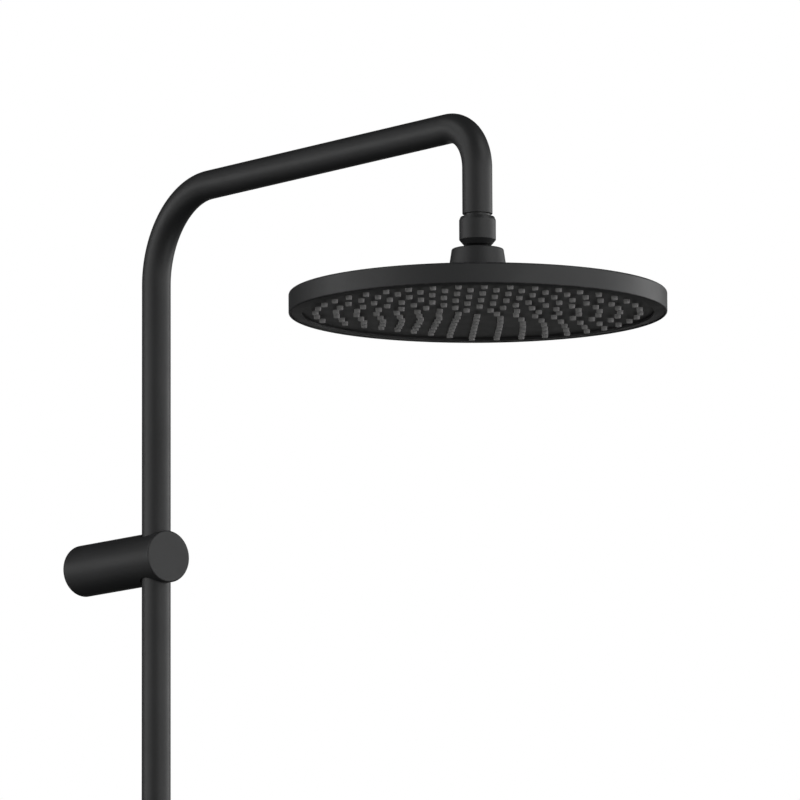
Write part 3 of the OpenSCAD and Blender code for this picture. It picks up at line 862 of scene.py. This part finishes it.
def softbox(name, azimuth, elevation, strength, size=1.5, distance=3.0):
    """Square area light aimed at the column; azimuth is counted from the camera's."""
    turn, rise = math.radians(azimuth + CAMERA_AZIMUTH), math.radians(elevation)
    away = Vector((math.sin(turn) * math.cos(rise), -math.cos(turn) * math.cos(rise), math.sin(rise)))
    light = bpy.data.lights.new(name, "AREA")
    light.shape = "SQUARE"
    light.size = size
    light.energy = strength
    lamp = bpy.data.objects.new(name, light)
    bpy.context.scene.collection.objects.link(lamp)
    middle = (CAD_BOX[0] + CAD_BOX[1]) / 2
    middle.z = 0
    lamp.location = middle + away * distance
    lamp.rotation_mode = "QUATERNION"
    lamp.rotation_quaternion = away.to_track_quat("Z", "Y")
    lamp.visible_camera = False


def softboxes():
    """Rings of softboxes about the column: strength by azimuth, at three elevations."""
    level = {
        -120: 1.5, -90: 13.3, -60: 9.8, -30: 4, 0: 4.6, 30: 12, 60: 10.2, 90: 12, 120: 18.4, 150: 1,
        180: 2}
    above = {-90: 6.6, -60: 8.1, 60: 11.1, 90: 3.4}
    below = {-90: 5.8, 60: 9.5}
    for elevation, ring in ((5, level), (40, above), (-30, below)):
        for azimuth, strength in ring.items():
            softbox(f"softbox_{elevation}_{azimuth}", azimuth, elevation, strength)


def backdrop():
    """White to the camera; a dim grey room for everything else."""
    dim = 0.04
    world = bpy.data.worlds.new("studio")
    bpy.context.scene.world = world
    world.use_nodes = True
    nodes, links = world.node_tree.nodes, world.node_tree.links
    nodes.clear()
    room, white = nodes.new("ShaderNodeBackground"), nodes.new("ShaderNodeBackground")
    room.inputs["Color"].default_value = grey(0.5)
    room.inputs["Strength"].default_value = dim
    white.inputs["Color"].default_value = grey(1.0)
    seen = nodes.new("ShaderNodeLightPath").outputs["Is Camera Ray"]
    mix, out = nodes.new("ShaderNodeMixShader"), nodes.new("ShaderNodeOutputWorld")
    links.new(seen, mix.inputs["Fac"])
    links.new(room.outputs[0], mix.inputs[1])
    links.new(white.outputs[0], mix.inputs[2])
    links.new(mix.outputs[0], out.inputs["Surface"])


def floor():
    """Pale round floor that fades out towards its edge and isn't seen from below."""
    height, radius, glow = -1.9, 6.0, 0.45
    paint = Paint("pale_floor", Roughness=0.8)
    tone = paint.remap(paint.noise(0.6, 4), 0, 1, 0.3, 0.7)
    colour = paint.mix(tone, grey(0.78), grey(0.82))
    distance = paint.node("VectorMath", Vector=paint.place)
    distance.operation = "LENGTH"
    fade = paint.remap(distance.outputs["Value"], 1, 0, radius * 0.4, radius * 0.95)
    front = paint.remap(paint.node("NewGeometry").outputs["Backfacing"], 1, 0)
    paint.finish(
        Base_Color=colour, Emission_Color=colour, Emission_Strength=glow, Alpha=paint.times(fade, front))
    mesh = new_mesh()
    disc = [(0, 0, 0), (radius / 2, 0, 0), (radius, 0, 0)]
    turned(mesh, disc, Matrix.Identity(4), 96)
    bmesh.ops.remove_doubles(mesh, verts=mesh.verts, dist=MM)       # makes the middle one vertex
    for face in mesh.faces:
        if face.normal.z < 0:
            face.normal_flip()
    data = bpy.data.meshes.new("floor")
    mesh.to_mesh(data)
    mesh.free()
    data.materials.append(paint.material)
    ground = bpy.data.objects.new("floor", data)
    ground.location = (0, HEAD_Y / 2, height)
    bpy.context.scene.collection.objects.link(ground)
    ground.visible_diffuse = False      # only the camera sees it: it neither lights nor mirrors
    ground.visible_glossy = False


def hidden_nodes():
    """Materials for the CAD solids that stay as they are, inside the head and the tube."""
    finishes = {
        "filter_screen": STEEL, "upper_seat": RUBBER, "stem_oring": RUBBER, "spigot_washer": RUBBER,
        "chamber_plate": CHAMBER_PLASTIC, "flow_regulator": ACETAL, "chamber_seal": RUBBER,
        "chamber_screws": STEEL}
    for node, material in finishes.items():
        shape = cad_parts[node]
        for place in shape.material_slots:
            place.material = material
        for face in shape.data.polygons:
            face.use_smooth = True


camera()
backdrop()
floor()
softboxes()

riser_tube()
foot_fittings()
union_nut()
bracket_body()
mounting_disc()
bracket_screws()
liner()
arm_nipple()
swivel_nut()
swivel_ball()
lower_seat()
neck_boss()
boss_gasket()
top_shell()
face_ring()
face_plate()
spray_nozzles()
hidden_nodes()

scene = bpy.context.scene
scene.view_settings.view_transform = "Standard"
